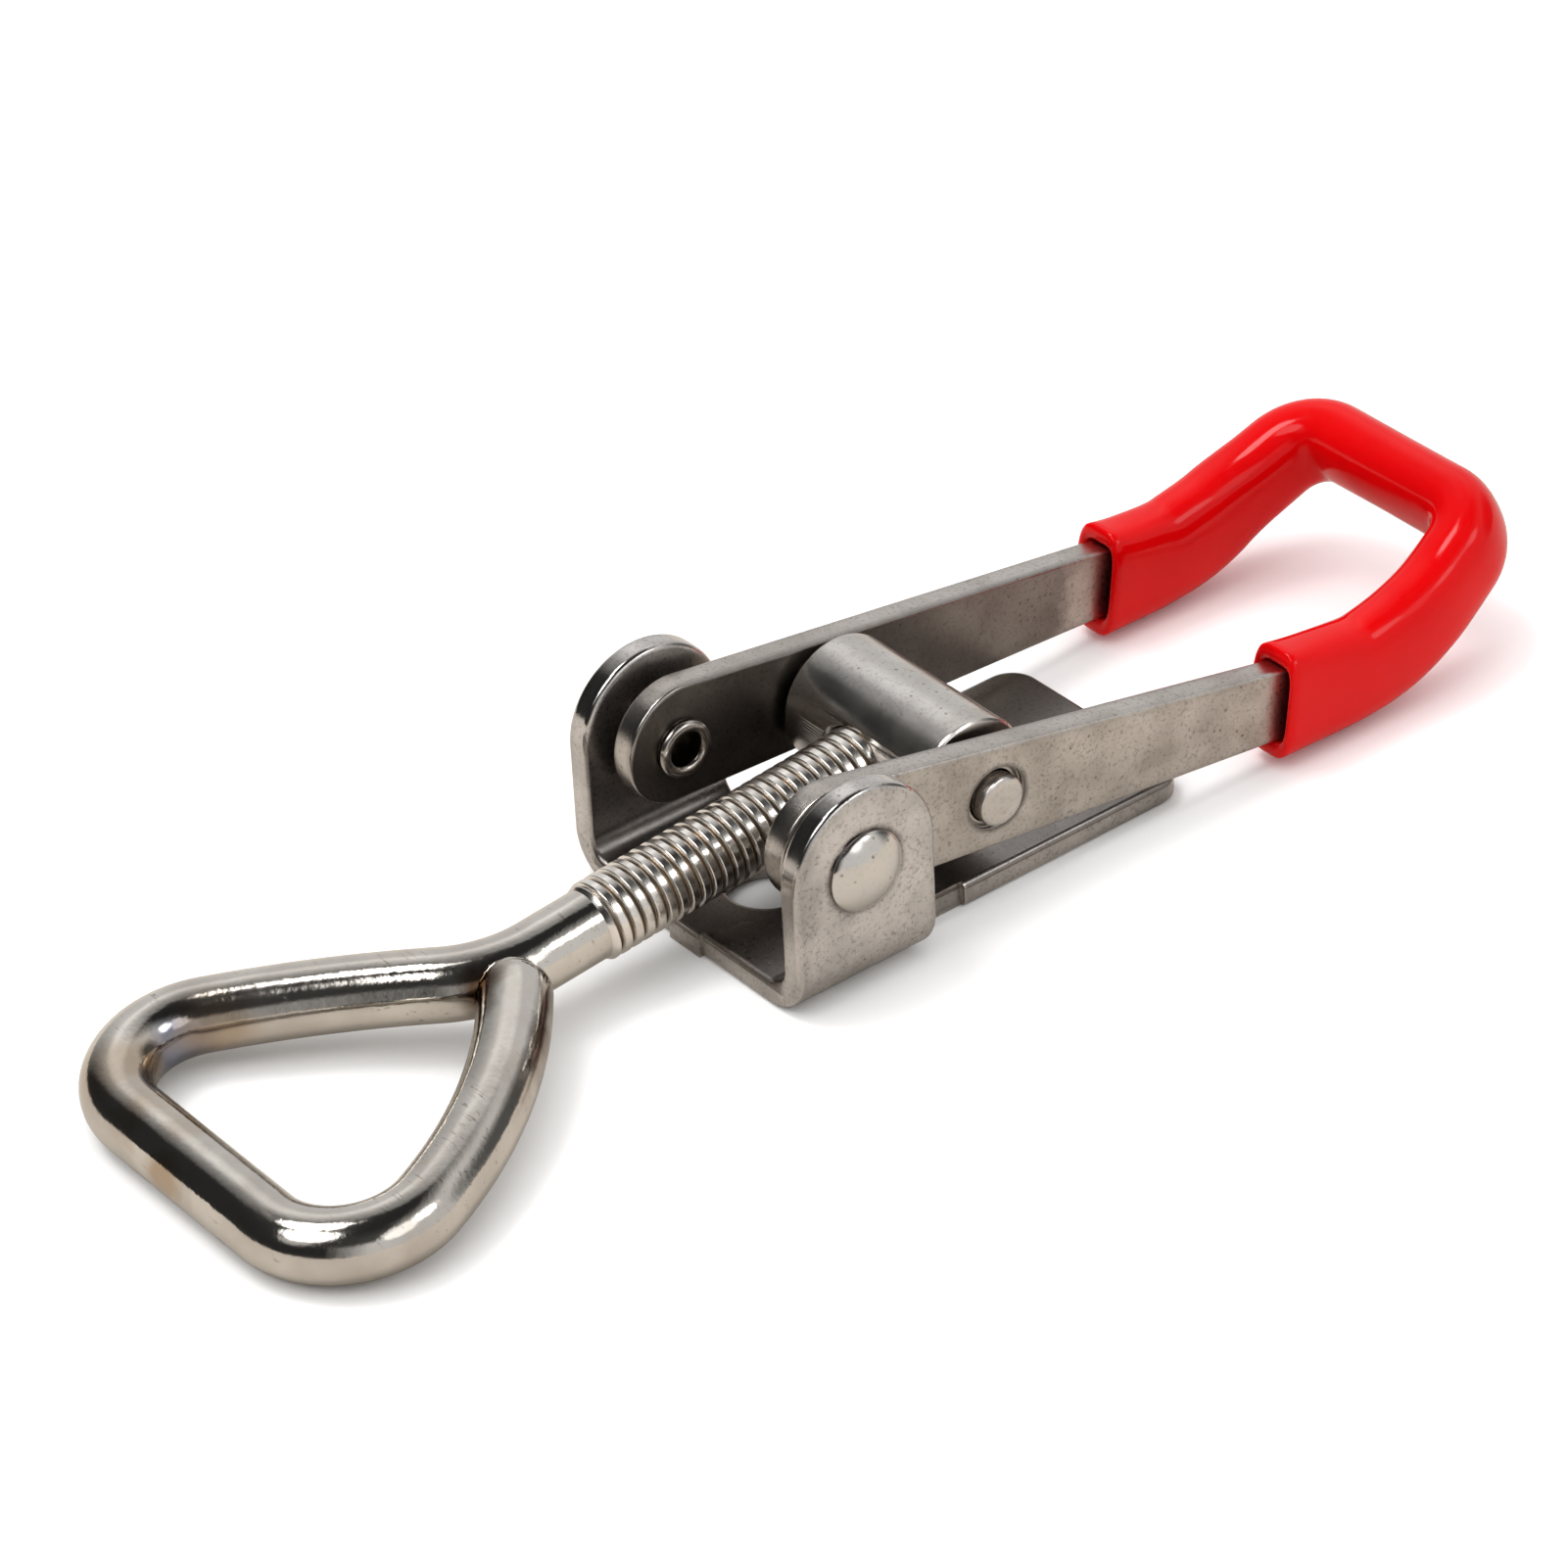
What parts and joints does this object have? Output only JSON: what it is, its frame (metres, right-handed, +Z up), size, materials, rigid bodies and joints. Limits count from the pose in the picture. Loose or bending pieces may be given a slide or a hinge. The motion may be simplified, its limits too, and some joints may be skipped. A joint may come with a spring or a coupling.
{
  "type": "over centre toggle latch",
  "caption": "Over centre toggle latch with a folded steel base, a threaded wire hook that screws into a cross pin, and a bent flat-bar handle with a soft grip sleeve.",
  "frame": {"origin": "midpoint between the two mounting holes, on the underside of the base", "axes": "+X along the latch from the hook towards the grip, +Z up from the mounting surface, Y across"},
  "size_m": [0.1165, 0.034, 0.0169],
  "materials": {
    "base_steel": "satin, with polished rolled edges",
    "bar_steel": "blasted satin",
    "grip_vinyl": "glossy dipped vinyl",
    "rivet_steel": "bright satin",
    "turned_steel": "turned satin",
    "polished_steel": "polished, with light heat tint at the bends"
  },
  "bodies": {
    "base": {"base_bracket": "base_steel", "pivot_rivet_near": "rivet_steel", "pivot_rivet_far": "rivet_steel"},
    "handle": {"handle_bar": "bar_steel", "grip_sleeve": "grip_vinyl"},
    "trunnion": {"trunnion": "turned_steel"},
    "hook": {"hook_rod": "polished_steel"}
  },
  "joints": [
    {"name": "handle_pivot", "type": "hinge", "parent": "base", "child": "handle", "pos_m": [-0.013, 0, 0.0104], "axis": [0, -1, 0], "range_deg": [0, 120]},
    {"name": "trunnion_turn", "type": "hinge", "parent": "handle", "child": "trunnion", "pos_m": [0.00098, 0, 0.00858], "axis": [0, -1, 0], "range_deg": [-120, 0]},
    {"name": "hook_adjust", "type": "slide", "parent": "trunnion", "child": "hook", "axis": [0.9955, 0, 0.0948], "range_m": [-0.002, 0.01]}
  ],
  "couplings": [
    {"joint": "trunnion_turn", "follows": "handle_pivot", "ratio": -1}
  ]
}
